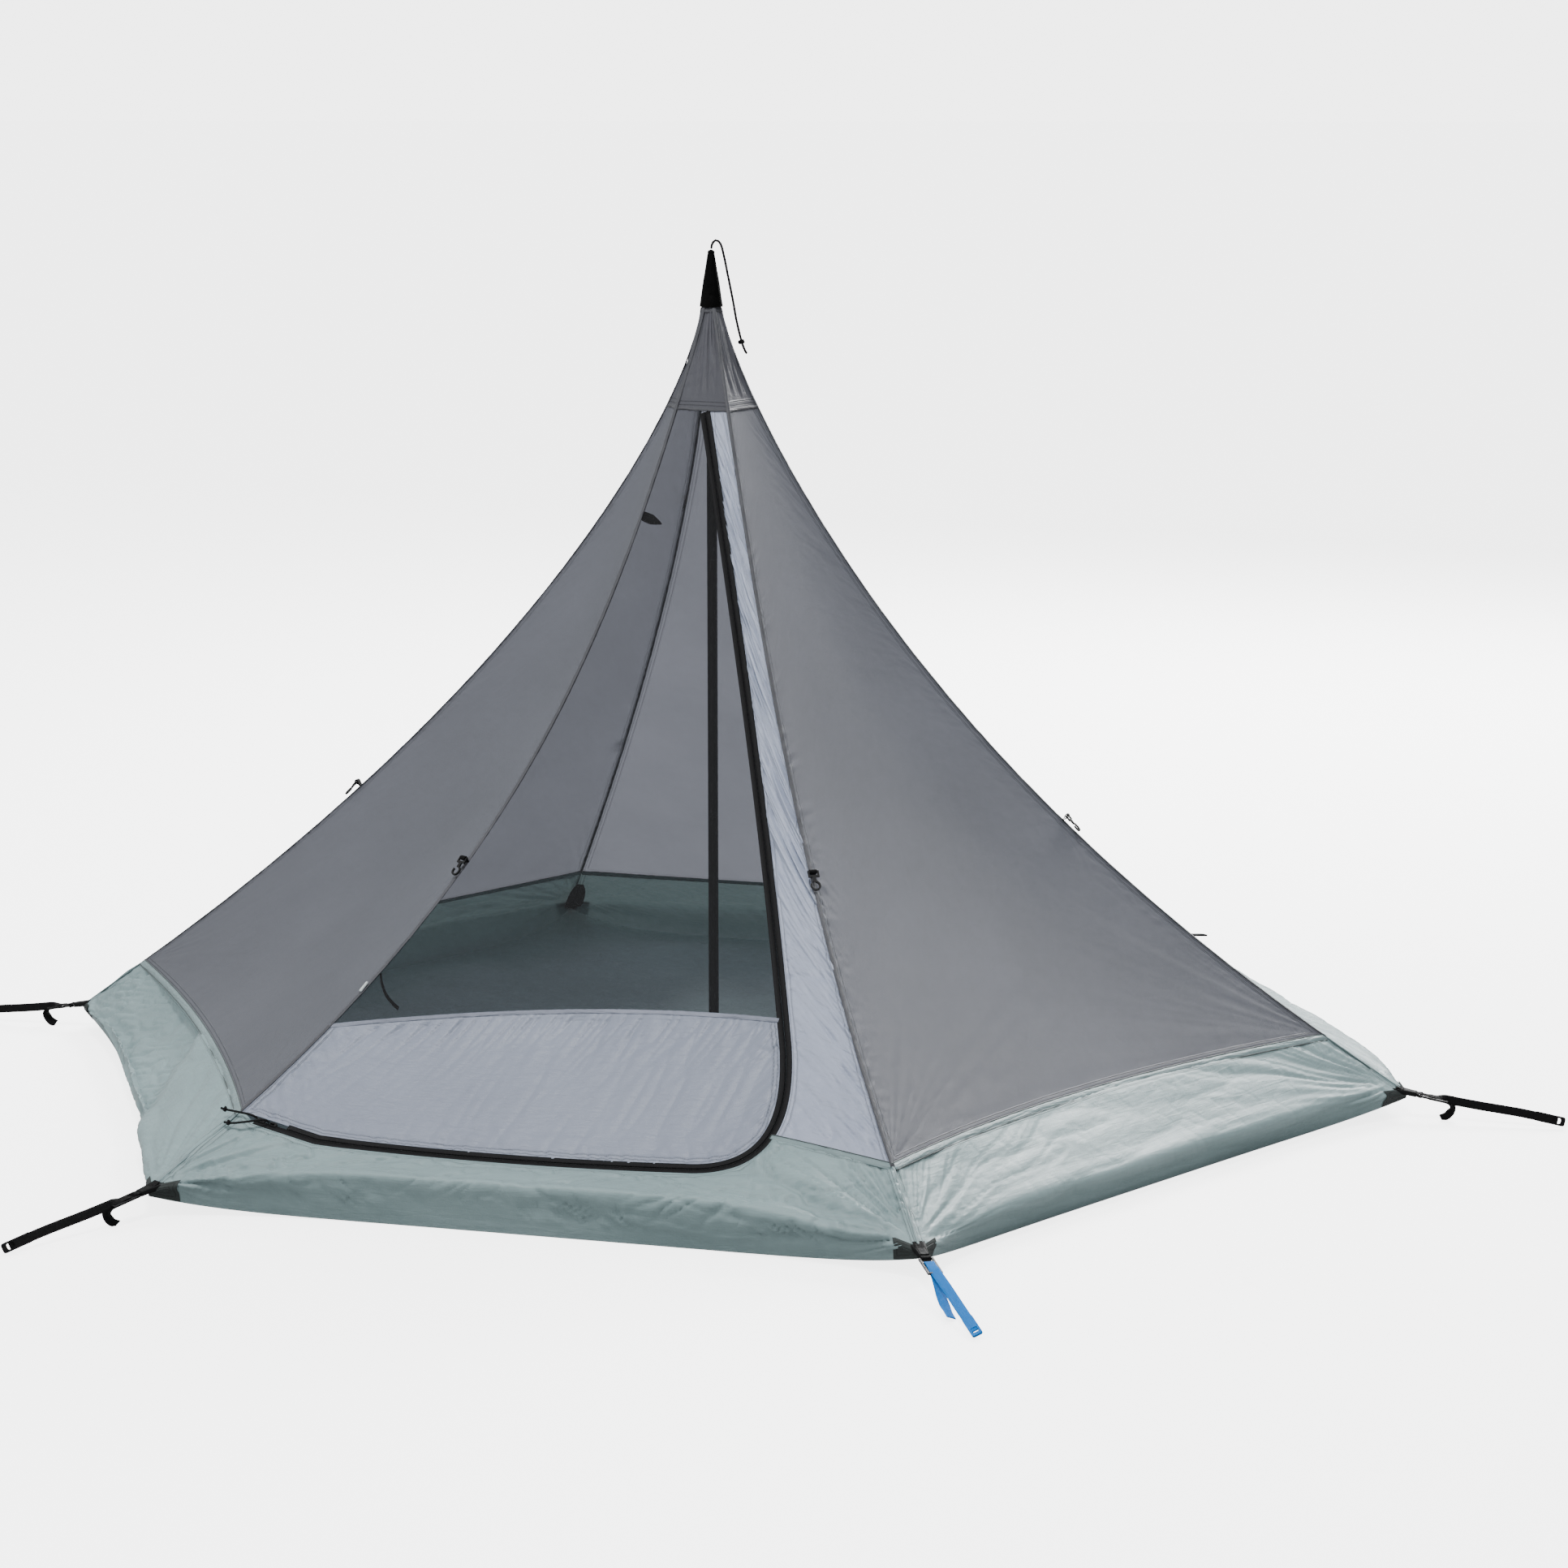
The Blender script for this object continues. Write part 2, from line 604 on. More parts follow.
def cord_material(name, colour):
    """Braided cord: two crossing spirals round it."""
    graph = Graph(name)
    place = graph.node("TexCoord").outputs["Object"]
    braid = graph.node("TexVoronoi", {"Vector": place, "Scale": 1300.0}, feature="F1").outputs["Distance"]
    normal = graph.bump(braid, 0.8, 0.0005)
    light = graph.mix(braid, tinted(colour, 1.6, 8), linear(*colour))
    shader = graph.node("BsdfPrincipled", {"Base Color": light, "Roughness": 0.78, "Normal": normal,
                                           "Specular IOR Level": 0.2})
    return graph.finish(shader.outputs[0])


def zip_material(name):
    """Coil zip tape: fine ribs across the tape and teeth beside the split."""
    graph = Graph(name)
    cloth, edge = graph.fabric_places()
    parts = graph.node("SeparateXYZ", {0: cloth})
    teeth = graph.maths("SINE", graph.maths("MULTIPLY", parts.outputs[0], math.tau / 0.0024))
    near = graph.remap(edge, 0.0036, 0.0030, 0.0, 1.0)
    ribs = graph.maths("SINE", graph.maths("MULTIPLY", parts.outputs[1], math.tau / 0.0013))
    normal = graph.bump(graph.maths("MULTIPLY", teeth, near), 0.9, 0.0007)
    beside = graph.maths("SUBTRACT", 1.0, near)
    normal = graph.bump(graph.maths("MULTIPLY", ribs, beside), 0.5, 0.0003, normal)
    mottle = graph.noise(cloth, 160.0, 3.0)
    rows = graph.band(edge, 0.0092, 0.0006)
    light = graph.mix(mottle, linear(7, 7, 8), linear(18, 18, 20))
    light = graph.mix(graph.maths("MULTIPLY", rows, 0.5), light, linear(36, 38, 42))
    shine = graph.remap(near, 0.0, 1.0, 0.68, 0.42)
    shader = graph.node("BsdfPrincipled", {"Base Color": light, "Roughness": shine, "Normal": normal,
                                           "Specular IOR Level": 0.2})
    return graph.finish(shader.outputs[0])


TAPE = {"sewn": False, "streak": 0.6}
DULL = {"sheen": 0.0}

# Name, colour, shade, roughness, crumple and light through, and what differs from the plain fabric.
MATERIALS = {
    "canopy": fabric_material("canopy_nylon", (122, 124, 133), (113, 115, 123), 0.50, 0.07, 0.46),
    "crown": fabric_material("crown_nylon", (78, 79, 87), (66, 67, 74), 0.55, 0.20, 0.20),
    "door_fabric": fabric_material("door_nylon", (172, 180, 199), (155, 163, 184), 0.38, 0.30, 0.12,
                                   streak=0.25, coat=0.15),
    "door_panel": fabric_material("door_panel_nylon", (146, 153, 169), (134, 141, 158), 0.38, 0.28, 0.14,
                                  streak=0.25, coat=0.10),
    "netting": netting_material("insect_mesh", (34, 35, 38), 0.30),
    "tub": fabric_material("tub_nylon", (143, 165, 167), (129, 151, 153), 0.46, 0.16, 0.10,
                           streak=0.14, coat=0.06),
    "floor": fabric_material("floor_nylon", (172, 190, 191), (154, 173, 173), 0.45, 0.6, 0.05, sewn=False),
    "patch": fabric_material("patch_fabric", (48, 55, 54), (38, 44, 43), 0.55, 0.4, 0.0, gleam=0.3, **DULL),
    "black_fabric": fabric_material("black_fabric", (14, 15, 16), (9, 10, 10), 0.65, 0.5, 0.0,
                                    gleam=0.15, **DULL),
    "seam": fabric_material("seam_tape", (66, 67, 73), (54, 55, 60), 0.6, 0.3, 0.0, **TAPE),
    "pale_seam": fabric_material("pale_seam_tape", (132, 137, 152), (104, 109, 122), 0.55, 0.3, 0.0, **TAPE),
    "tub_seam": fabric_material("tub_seam_tape", (126, 146, 148), (106, 124, 126), 0.5, 0.3, 0.0, **TAPE),
    "thread": fabric_material("seam_thread", (70, 80, 80), (58, 67, 67), 0.6, 0.3, 0.0, **TAPE),
    "webbing": webbing_material("black_webbing", (4, 4, 5)),
    "blue_webbing": webbing_material("blue_webbing", (4, 98, 170)),
    "plastic": moulded_material("black_plastic", (4, 4, 5), 0.45),
    "zip": zip_material("zip_tape"),
    "slider": moulded_material("zip_slider", (10, 10, 11), 0.34, 500.0, 0.3),
    "pole": moulded_material("pole_metal", (3, 3, 4), 0.50, 1500.0, 0.1, 0.25),
    "rubber": moulded_material("pole_rubber", (9, 9, 9), 0.80, 700.0),
    "cap": fabric_material("cap_fabric", (4, 4, 4), (2, 2, 2), 0.62, 0.4, 0.0, sewn=False, gleam=0.05, **DULL),
    "toggle": moulded_material("pale_plastic", (196, 204, 204), 0.42),
    "cord": cord_material("cord_black", (8, 8, 9)),
}


# ---------------------------------------------------------------- camera and light

CAMERA_PLACE = (2.199, -7.808, 2.194)
CAMERA_AIM = (0.157, 0.044, 0.6775)
CAMERA_LENS = 82.49
SENSOR_WIDTH = 36.0

# Name, place, aim, size and power of each soft light.
LIGHTS = (
    ("key", (0.3, -3.6, 8.0), (0, 0, 0.4), 1.4, 460),
    ("left", (-6.5, -4.0, 4.5), (0, 0, 0.5), 2.6, 190),
    ("behind", (1.4, 6.9, 5.5), (0, 0, 0.7), 4.0, 1600),
)
SKY_COLOUR = (0.965, 0.985, 1.0, 1)
SKY_SEEN = 4.4
FLOOR_GLOW = 3.6
FLOOR_REACH = 900


def make_camera():
    data = bpy.data.cameras.new("camera")
    data.lens = CAMERA_LENS
    data.sensor_width = SENSOR_WIDTH
    camera = bpy.data.objects.new("camera", data)
    bpy.context.scene.collection.objects.link(camera)
    camera.location = CAMERA_PLACE
    camera.rotation_euler = (Vector(CAMERA_AIM) - camera.location).to_track_quat("-Z", "Y").to_euler()
    bpy.context.scene.camera = camera


def make_light(name, location, aim, size, power):
    data = bpy.data.lights.new(name, "AREA")
    data.shape = "SQUARE"
    data.size = size
    data.energy = power
    lamp = bpy.data.objects.new(name, data)
    bpy.context.scene.collection.objects.link(lamp)
    lamp.location = location
    lamp.rotation_euler = (Vector(aim) - Vector(location)).to_track_quat("-Z", "Y").to_euler()


def make_studio():
    """Soft light from above, from the left and from behind, and a white floor that fills the view."""
    world = bpy.data.worlds.new("studio")
    world.use_nodes = True
    sky = world.node_tree
    lit = sky.nodes["Background"]
    lit.inputs[0].default_value = SKY_COLOUR
    height = sky.nodes.new("ShaderNodeSeparateXYZ")
    sky.links.new(sky.nodes.new("ShaderNodeTexCoord").outputs["Generated"], height.inputs[0])
    glow = sky.nodes.new("ShaderNodeMapRange")
    for slot, value in ((1, -0.1), (2, 0.9), (3, 0.30), (4, 1.0)):
        glow.inputs[slot].default_value = value
    sky.links.new(height.outputs[2], glow.inputs[0])
    sky.links.new(glow.outputs[0], lit.inputs[1])
    seen = sky.nodes.new("ShaderNodeBackground")
    seen.inputs[0].default_value = (1, 1, 1, 1)
    seen.inputs[1].default_value = SKY_SEEN
    camera_ray = sky.nodes.new("ShaderNodeLightPath").outputs["Is Camera Ray"]
    both = sky.nodes.new("ShaderNodeMixShader")
    sky.links.new(camera_ray, both.inputs[0])
    sky.links.new(lit.outputs[0], both.inputs[1])
    sky.links.new(seen.outputs[0], both.inputs[2])
    sky.links.new(both.outputs[0], sky.nodes["World Output"].inputs[0])
    bpy.context.scene.world = world
    for settings in LIGHTS:
        make_light(*settings)
    mesh = bpy.data.meshes.new("studio_floor")
    corners = [(x * FLOOR_REACH, y * FLOOR_REACH, 0) for x, y in ((-1, -1), (1, -1), (1, 1), (-1, 1))]
    mesh.from_pydata(corners, [], [(0, 1, 2, 3)])
    ground = bpy.data.objects.new("studio_floor", mesh)
    bpy.context.scene.collection.objects.link(ground)
    graph = Graph("studio_floor")
    matt = graph.node("BsdfDiffuse", {"Color": (0.80, 0.80, 0.80, 1)})
    white = graph.node("Emission", {"Color": (1, 1, 1, 1), "Strength": FLOOR_GLOW})
    seen = graph.node("AddShader", {0: matt.outputs[0], 1: white.outputs[0]})
    dim = graph.node("BsdfDiffuse", {"Color": (0.40, 0.40, 0.40, 1)})
    camera_ray = graph.node("LightPath").outputs["Is Camera Ray"]
    graph.finish(graph.node("MixShader", {0: camera_ray, 1: dim.outputs[0], 2: seen.outputs[0]}).outputs[0])
    mesh.materials.append(graph.material)
    ground.location.z = -0.001


# ---------------------------------------------------------------- cords

PULL_RADIUS = 0.0023
PULL_KNOT = (0.0044, 0.0022)
LOOP_RADIUS = 0.0027
LOOP_KNOT = (0.0058, 0.0026)


def tube(name, points, radius, finish):
    curve = bpy.data.curves.new(name, "CURVE")
    curve.dimensions = "3D"
    curve.bevel_depth = radius
    curve.bevel_resolution = 3
    curve.use_fill_caps = True
    spline = curve.splines.new("POLY")
    spline.points.add(len(points) - 1)
    for target, point in zip(spline.points, points):
        target.co = (*point, 1)
    made = bpy.data.objects.new(name, curve)
    bpy.context.scene.collection.objects.link(made)
    curve.materials.append(MATERIALS[finish])
    return made


def knot(name, centre, along, size, radius, body):
    """An overhand knot: a short tube that follows a trefoil."""
    along = Vector(along).normalized()
    side = along.orthogonal().normalized()
    turn = Matrix((side, along.cross(side), along)).transposed()
    points = []
    for step in range(49):
        a = math.tau * step / 48
        local = Vector((math.sin(a) + 2 * math.sin(2 * a), math.cos(a) - 2 * math.cos(2 * a),
                        -1.3 * math.sin(3 * a))) * (size / 3)
        points.append(Vector(centre) + turn @ local)
    made = tube(name, points, radius, "cord")
    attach(made, body)
    return made


def length_of(points):
    return float(np.linalg.norm(np.diff(np.asarray(points), axis=0), axis=1).sum())


def make_zip_pulls():
    end, outward = ZIP_POINTS[-1], ZIP_OUT[-1]
    along = -ZIP_ALONG[-1]
    turn = Matrix((along, np.cross(outward, along), outward)).transposed().to_4x4()
    for number in (1, 2):
        centre = Vector(end + along * (SLIDER_FIRST + SLIDER_PITCH * (number - 1)))
        place = Matrix.Translation(centre) @ turn
        spread = (-0.006, -0.036)[number - 1]
        lift = 0.0075 + 0.004 * number
        stops = [(-0.0085, 0.0, 0.0050), (-0.018, spread * 0.15, lift),
                 (-0.034, spread * 0.45, lift + 0.001), (-0.054, spread * 0.75, lift),
                 (-0.074, spread, lift - 0.002), (-0.092, spread * 1.1, lift - 0.003)]
        route = smooth_route([place @ Vector(stop) for stop in stops], 0.005)
        pull = tube("pull_cord_%d" % number, route, PULL_RADIUS, "cord")
        body = "zip_slider_%d" % number
        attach(pull, body)
        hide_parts("zip_cord_%d" % number)
        tied = knot("pull_knot_%d" % number, route[-3], route[-1] - route[-2], *PULL_KNOT, body)


def make_hang_cord():
    out = Vector((math.cos(math.radians(16)), math.sin(math.radians(16)), 0))
    side = Vector((-out.y, out.x, 0))
    fall = [(0.0005, 0.0022), (0.0030, 0.014), (0.0120, 0.0205), (0.0220, 0.0110), (0.0300, -0.020),
            (0.0380, -0.060), (0.0480, -0.110), (0.0570, -0.160), (0.0680, -0.205), (0.0760, -0.226)]
    spread = (0.0032, 0.0042, 0.0048, 0.0052, 0.0052, 0.0048, 0.0040, 0.0036, 0.0038, 0.0036)
    near = [out * x + side * gap + Vector((0, 0, CAP_TIP + z)) for (x, z), gap in zip(fall, spread)]
    back = [out * x - side * gap + Vector((0, 0, CAP_TIP + z)) for (x, z), gap in zip(fall, spread)]
    turn = out * 0.0785 + Vector((0, 0, CAP_TIP - 0.2300))
    route = smooth_route(near + [turn] + list(reversed(back)), 0.0072)
    loop = tube("hanging_loop", route, LOOP_RADIUS, "cord")
    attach(loop, "tent")
    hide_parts("hang_cord")
    middle = (near[8] + back[8]) / 2
    tied = knot("hanging_loop_knot", middle, near[9] - near[7], *LOOP_KNOT, "tent")


# ---------------------------------------------------------------- canopy


def puckers(away, run, seed, size, depth, reach, slant=0.5):
    """Short folds that run out from a seam."""
    wave = folds(run / size + slant * away / size, away / reach * 0.8, seed)
    return depth * wave * np.exp(-away / reach)


def make_canopy_panel(name, side, seed):
    front = name.endswith("front")
    spread = np.linspace(0, 1, 151 if front else 121)
    spread = spread - 0.75 * np.sin(math.tau * spread) / math.tau
    heights = WALL_HEIGHT + (CROWN_HEIGHT - WALL_HEIGHT) * np.linspace(0, 1, 321 if front else 141) ** 1.1
    across, height = np.meshgrid(np.clip(spread, 0, 1), heights)
    smooth = panel_point(side, across, height)
    chord = chord_length(side, height)
    run = lengths_along(smooth)[1]
    left, right = across * chord, (1 - across) * chord
    fade = ramp(left, 0, 0.006) * ramp(right, 0, 0.006) * ramp(run, 0, 0.008)
    fade = fade * ramp(CROWN_HEIGHT - height, 0, 0.01)
    bumps = puckers(left, run, seed, 0.017, 0.0015, 0.035)
    bumps = bumps + puckers(right, run, seed + 1, 0.017, 0.0015, 0.035)
    bumps += puckers(run, left, seed + 2, 0.030, 0.0012, 0.05, 0.3)
    for away, number in ((left, 3), (right, 4)):
        reach = np.hypot(away, run)
        fan = np.arctan2(run, away)
        wide = folds(fan * 8 + 20, reach / 0.5, seed + number)
        bumps += 0.0012 * wide * np.exp(-reach / 0.30) * ramp(reach, 0, 0.05)
        bumps += 0.0009 * creases(fan * 22 + 40, reach / 0.4, seed + number + 2) * np.exp(-reach / 0.22)
        below = TIEOUT_HEIGHT - 0.03 - height
        tie = ramp(below, -0.03, 0.02) * np.exp(-np.clip(below, 0, 9) / 0.07) * np.exp(-away / 0.035)
        bumps += 0.0060 * creases((below - away * 1.1) / 0.016, away / 0.06, seed + number + 5) * tie
        ridge = creases((run - away * 0.7) / 0.014, away / 0.05, seed + number + 7)
        bumps += 0.0022 * ridge * np.exp(-away / 0.022)
    bumps += 0.004 * noise(across * 3 + 3, height * 3, seed + 8) * ramp(left, 0, 0.3) * ramp(right, 0, 0.3)
    points = wrinkled(smooth, bumps * fade)
    cloth = np.stack([left, run], -1)
    edge = np.minimum(np.minimum(left, right), run)
    panel = grid_object("canopy_panel_" + name, points, "canopy", cloth, edge)
    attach(panel, "tent")
    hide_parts("canopy_" + name)


def crown_ring(height, per_side):
    """Points round the crown at a height, with the side lines pulled in between the ridges."""
    ring = []
    for start, end in tent_sides():
        across = np.arange(per_side) / per_side
        line = ridge_point(start, height) * (1 - across[:, None]) + ridge_point(end, height) * across[:, None]
        squeeze = 1 - PANEL_SAG * 4 * across * (1 - across)
        line[:, :2] *= squeeze[:, None]
        ring.append(line)
    return np.vstack(ring)


def make_crown():
    per_side = 36
    heights = CROWN_HEIGHT + (TOP_HEIGHT - 0.004 - CROWN_HEIGHT) * np.linspace(0, 1, 61)
    smooth = np.stack([crown_ring(height, per_side) for height in heights])
    turn = np.linspace(0, 6, 6 * per_side, endpoint=False)
    part = (np.linspace(0, 1, 61))[:, None]
    gather = folds(turn[None] * 5.5, part * 1.1, 71) + creases(turn[None] * 13.0, part * 1.4, 72, 2.0)
    depth = 0.0042 * ramp(part, 0.02, 0.35) * (1 - 0.6 * ramp(part, 0.75, 1.0))
    outward = unit(smooth * np.array([1, 1, 0]))
    points = smooth + outward * (gather * depth)[..., None]
    radius = np.linalg.norm(smooth[..., :2], axis=-1)
    cloth = np.stack([turn[None] * radius, np.repeat(heights[:, None], 6 * per_side, 1)], -1)
    edge = np.repeat((heights - CROWN_HEIGHT)[:, None], 6 * per_side, 1)
    crown = grid_object("crown", points, "crown", cloth, edge, wrap=True)
    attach(crown, "tent")
    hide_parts("crown_cone")


def ridge_frames(corner, heights):
    points = ridge_point(corner, heights)
    angle = corner_angle(corner)
    along = unit(np.gradient(points, axis=0))
    around = np.repeat(np.array([[-math.sin(angle), math.cos(angle), 0.0]]), len(points), 0)
    return points, around, unit(np.cross(around, along))


def make_ridge_seams():
    for number, corner in enumerate(CORNERS):
        heights = np.linspace(WALL_HEIGHT - 0.002, TOP_HEIGHT - 0.006, 260)
        points, around, out = ridge_frames(corner, heights)
        wobble = noise(np.arange(260) / 3.0, 0.5, 90 + number)
        profile = band_profiles(260, 0.0044, 0.0010, 0.0006)
        profile[..., 1] += (0.0004 * wobble)[:, None]
        seam = sweep("ridge_seam_" + corner, points, around, out, profile, "seam")
        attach(seam, "tent")

        outer = np.array([CORNER_RADIUS - CORNER_CUT, CORNER_HEIGHT])
        inner = np.array([float(ridge_radius(corner, WALL_HEIGHT)), WALL_HEIGHT])
        line = np.linspace(0, 1, 40)[:, None]
        flat = outer * (1 - line) + inner * line
        angle = corner_angle(corner)
        points = np.stack([flat[:, 0] * math.cos(angle), flat[:, 0] * math.sin(angle), flat[:, 1]], -1)
        along = unit(np.gradient(points, axis=0))
        around = np.repeat(around[:1], 40, 0)
        seam = sweep("tub_ridge_" + corner, points, around, unit(np.cross(around, along)),
                     band_profile(0.0030, 0.0010, 0.0005), "tub_seam")
        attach(seam, "tent")


def make_crown_seam():
    ring = crown_ring(CROWN_HEIGHT, 30)
    out = unit(ring * np.array([1, 1, 0]))
    up = np.repeat(np.array([[0.0, 0.0, 1.0]]), len(ring), 0)
    lean = unit(up - out * 0.4)
    wobble = 0.0016 * noise(np.arange(len(ring)) / 1.5, 0.5, 44)
    profile = band_profiles(len(ring), 0.0042, 0.0011, 0.0006)
    profile[..., 0] += wobble[:, None]
    seam = sweep("crown_seam", ring, lean, out, profile, "seam", closed_path=True)
    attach(seam, "tent")
    collar = crown_ring(TOP_HEIGHT - 0.010, 12)
    out = unit(collar * np.array([1, 1, 0]))
    lean = unit(np.repeat(np.array([[0.0, 0.0, 1.0]]), len(collar), 0) - out * 0.35)
    profile = band_profile(0.0062, 0.0016, 0.0004)
    band = sweep("crown_collar", collar, lean, out, profile, "seam", closed_path=True)
    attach(band, "tent")


# ---------------------------------------------------------------- door side

def hem_height(part):
    middle = HEM_MIDDLE_HEIGHT - (HEM_LEFT_HEIGHT + HEM_RIGHT_HEIGHT) / 2
    return HEM_LEFT_HEIGHT + (HEM_RIGHT_HEIGHT - HEM_LEFT_HEIGHT) * part + middle * 4 * part * (1 - part)


def hem_places(count):
    """The hem between the netting and the solid lower panel, from the ridge to under the zip."""
    edge = zip_side(ZIP_HALF_WIDTH - 0.002)
    last = edge[np.argmax(edge[:, 1] < HEM_RIGHT_HEIGHT), 0]
    part = np.linspace(0, 1, count + 1)
    return np.stack([last * part, hem_height(part)], -1)


def distance_to(points, line):
    """Distance of each point of a grid from a line of points."""
    flat = points.reshape(-1, 3)
    nearest = np.full(len(flat), 9.0)
    for start in range(0, len(line), 64):
        gap = np.linalg.norm(flat[:, None] - line[None, start:start + 64], axis=-1).min(1)
        nearest = np.minimum(nearest, gap)
    return nearest.reshape(points.shape[:2])


def follow_door(piece):
    """The door bends between the sewn ridge and the free cloth."""
    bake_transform(piece)


def make_door():
    edge = zip_side(ZIP_HALF_WIDTH - 0.002)
    columns = 90
    hem = hem_places(columns)
    above = edge[edge[:, 1] > hem[-1, 1]][::-1]
    right = resample(np.vstack([hem[-1:], above, [[above[-1, 0], CROWN_HEIGHT]]]), 150)
    left = np.stack([np.zeros(151), np.interp(right[:, 1], [right[0, 1], CROWN_HEIGHT],
                                              [HEM_LEFT_HEIGHT, CROWN_HEIGHT])], -1)
    top = resample([left[-1], right[-1]], columns)
    smooth = panel_point(DOOR_SIDE, *np.moveaxis(coons(hem, top, left, right), -1, 0))
    x, y = lengths_along(smooth)
    ridge_away = x
    zip_away = distance_to(smooth, ZIP_POINTS) - ZIP_HALF_WIDTH
    fade = ramp(ridge_away, 0, 0.01) * ramp(zip_away, 0, 0.02) * ramp(y, 0, 0.01)
    bumps = 0.0035 * noise(x * 4, y * 2.2, 12) + puckers(ridge_away, y, 13, 0.022, 0.0012, 0.04)
    bumps += puckers(y, x, 15, 0.02, 0.0014, 0.03)
    points = wrinkled(smooth, bumps * fade)
    netting = grid_object("door_netting", points, "netting", np.stack([x, y], -1), ridge_away)
    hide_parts("door_mesh")
    follow_door(netting)

    below = edge[edge[:, 1] < hem[-1, 1]]
    turn = int(np.argmax(below[:, 1] < WALL_HEIGHT + 0.025))
    bottom = resample(np.vstack([[[0.0, WALL_HEIGHT]], below[turn:][::-1]]), 270)
    hem = hem_places(270)
    right = resample(np.vstack([hem[-1:], below[:turn + 1]])[::-1], 80)
    left = np.stack([np.zeros(81), np.linspace(WALL_HEIGHT, HEM_LEFT_HEIGHT, 81)], -1)
    smooth = panel_point(DOOR_SIDE, *np.moveaxis(coons(bottom, hem, left, right), -1, 0))
    x, y = lengths_along(smooth)
    zip_away = distance_to(smooth, ZIP_POINTS) - ZIP_HALF_WIDTH
    hem_away = distance_to(smooth, smooth[-1])
    fade = ramp(x, 0, 0.022) * ramp(zip_away, 0, 0.008) * ramp(hem_away, 0.004, 0.020)
    bumps = puckers(hem_away, x, 21, 0.018, 0.0022, 0.05, 0.15)
    bumps += puckers(zip_away, x + y, 22, 0.016, 0.0016, 0.028)
    hanging = creases(x / 0.017 - y * 14.0, y / 0.12, 26, 2.0)
    bumps += 0.0075 * hanging * np.exp(-hem_away / 0.075) * ramp(x, 0.02, 0.1)
    bumps += 0.0060 * creases((x + y * 0.9) / 0.018, y / 0.05, 27, 2.0) * np.exp(-zip_away / 0.035)
    bumps += 0.0070 * creases((y + x * 0.8) / 0.019, x / 0.05, 28, 2.0) * np.exp(-x / 0.055)
    bumps += 0.0020 * folds(x / 0.028 + y * 2.0, y / 0.16, 23) * ramp(hem_away, 0, 0.05) * ramp(x, 0.2, 0.5)
    bumps += puckers(x, y, 24, 0.02, 0.003, 0.07, 0.8) + 0.003 * noise(x * 5, y * 6, 25)
    points = wrinkled(smooth, bumps * fade)
    sewn_away = np.minimum(zip_away, x)
    panel = grid_object("door_panel", points, "door_panel", np.stack([x, y], -1), sewn_away)
    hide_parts("door_lower_panel")
    follow_door(panel)

    places = hem_places(220)
    centre, out = panel_frame(DOOR_SIDE, places[:, 0], places[:, 1])
    along = unit(np.gradient(centre, axis=0))
    profile = band_profiles(len(centre), 0.0058, 0.0011, 0.0003)
    profile[..., 1] += (0.0007 * folds(np.arange(221) / 2.2, 0.5, 31))[:, None]
    hem_band = sweep("door_hem", centre, unit(np.cross(out, along)), out, profile, "pale_seam")
    follow_door(hem_band)


def surround_corner():
    edge = zip_side(-ZIP_HALF_WIDTH + 0.002)
    return edge, int(np.argmax(edge[:, 1] < WALL_HEIGHT + 0.018))


def make_strip():
    """The pale strip between the zip and the front right ridge, puckered from edge to edge."""
    edge, corner = surround_corner()
    rows, columns = 720, 56
    left = resample(np.vstack([[[edge[0, 0], CROWN_HEIGHT]], edge[:corner + 1]])[::-1], rows)
    right = resample([[1, WALL_HEIGHT], [1, CROWN_HEIGHT]], rows)
    bottom = resample([left[0], right[0]], columns)
    top = resample([left[-1], right[-1]], columns)
    smooth = panel_point(DOOR_SIDE, *np.moveaxis(coons(bottom, top, left, right), -1, 0))
    x, y = lengths_along(smooth)
    width = x[:, -1:]
    zip_away, ridge_away = x, width - x
    height = smooth[..., 2]
    fade = ramp(zip_away, 0.004, 0.018) * ramp(ridge_away, 0, 0.005)
    fade = fade * ramp(y, 0, 0.02) * ramp(CROWN_HEIGHT - height, 0, 0.02)
    upper = ramp(height, 0.84, 0.95) * (1 - ramp(height, 1.40, 1.50))
    middle = ramp(height, 0.50, 0.60) * (1 - ramp(height, 0.80, 0.92))
    lower = (1 - ramp(height, 0.50, 0.60)) * ramp(height, 0.16, 0.24)
    bumps = 0.0060 * creases((y + zip_away * 1.10) / 0.0160, x / 0.10, 41, 1.5) * upper
    bumps += 0.0025 * folds((y + zip_away * 0.9) / 0.026, x / 0.10, 44) * upper
    bumps += 0.0090 * folds((y + zip_away * 1.20) / 0.050, x / 0.12, 42) * middle
    bumps += 0.0060 * creases((y + zip_away * 1.20) / 0.020, x / 0.09, 48, 1.5) * middle
    falling = creases((y + zip_away * 0.95) / 0.021, x / 0.07, 43, 1.6)
    bumps += 0.0085 * falling * lower * np.exp(-ridge_away / 0.060)
    rising = creases((y - zip_away * 0.8) / 0.019, x / 0.06, 50, 2.0)
    bumps += 0.0055 * rising * lower * np.exp(-zip_away / 0.030)
    wide = folds((y - ridge_away * 0.50) / 0.036, x / 0.16, 49)
    bumps += 0.0050 * wide * lower * np.exp(-ridge_away / 0.12)
    bumps += 0.0040 * creases((y + x * 0.8) / 0.020, x / 0.08, 45) * ramp(noise(y * 5, 0.5, 46), -0.3, 0.4)
    cross_seam = np.exp(-((height - 0.452 - zip_away * 0.06) / 0.006) ** 2)
    bumps -= 0.0026 * cross_seam
    points = wrinkled(smooth, bumps * fade)
    sewn_away = np.minimum(zip_away, ridge_away)
    strip = grid_object("door_strip", points, "door_fabric", np.stack([x, y], -1), sewn_away)
    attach(strip, "tent")
    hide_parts("door_surround")


